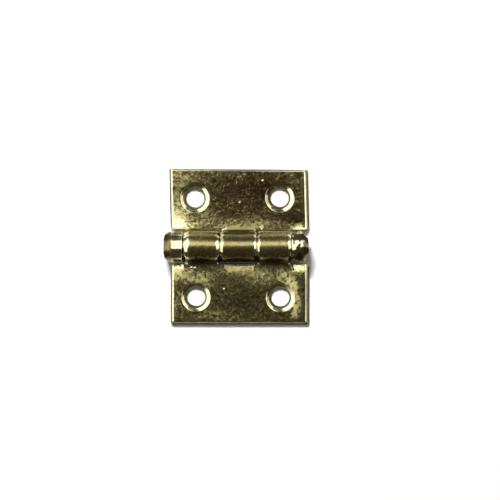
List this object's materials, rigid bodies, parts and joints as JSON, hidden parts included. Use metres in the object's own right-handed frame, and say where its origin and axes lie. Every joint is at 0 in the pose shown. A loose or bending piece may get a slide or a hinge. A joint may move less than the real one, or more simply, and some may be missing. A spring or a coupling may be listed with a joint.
{
  "type": "box hinge",
  "caption": "Small brass hinge for boxes and caskets: stamped leaves with countersunk screw holes, rolled into knuckles that turn on a headed, riveted pin.",
  "frame": {"origin": "on the back mounting plane, under the pin's axis, midway between the screw holes of each leaf", "axes": "+X along the pin from its turned head towards its riveted tail, +Y across the open leaves from the leaf with the outer knuckles to the leaf with the middle one, +Z out of the front, away from the surface that the leaves are screwed to"},
  "size_m": [0.0169, 0.018, 0.0036],
  "materials": {
    "polished_brass": "polished, with fine scratches"
  },
  "bodies": {
    "outer_leaf": {"two_knuckle_leaf": "polished_brass", "hinge_pin": "polished_brass"},
    "middle_leaf": {"one_knuckle_leaf": "polished_brass"}
  },
  "joints": [
    {"name": "pin_hinge", "type": "hinge", "parent": "outer_leaf", "child": "middle_leaf", "pos_m": [0, 0, 0.0018], "axis": [1, 0, 0], "range_deg": [-90, 180]}
  ]
}
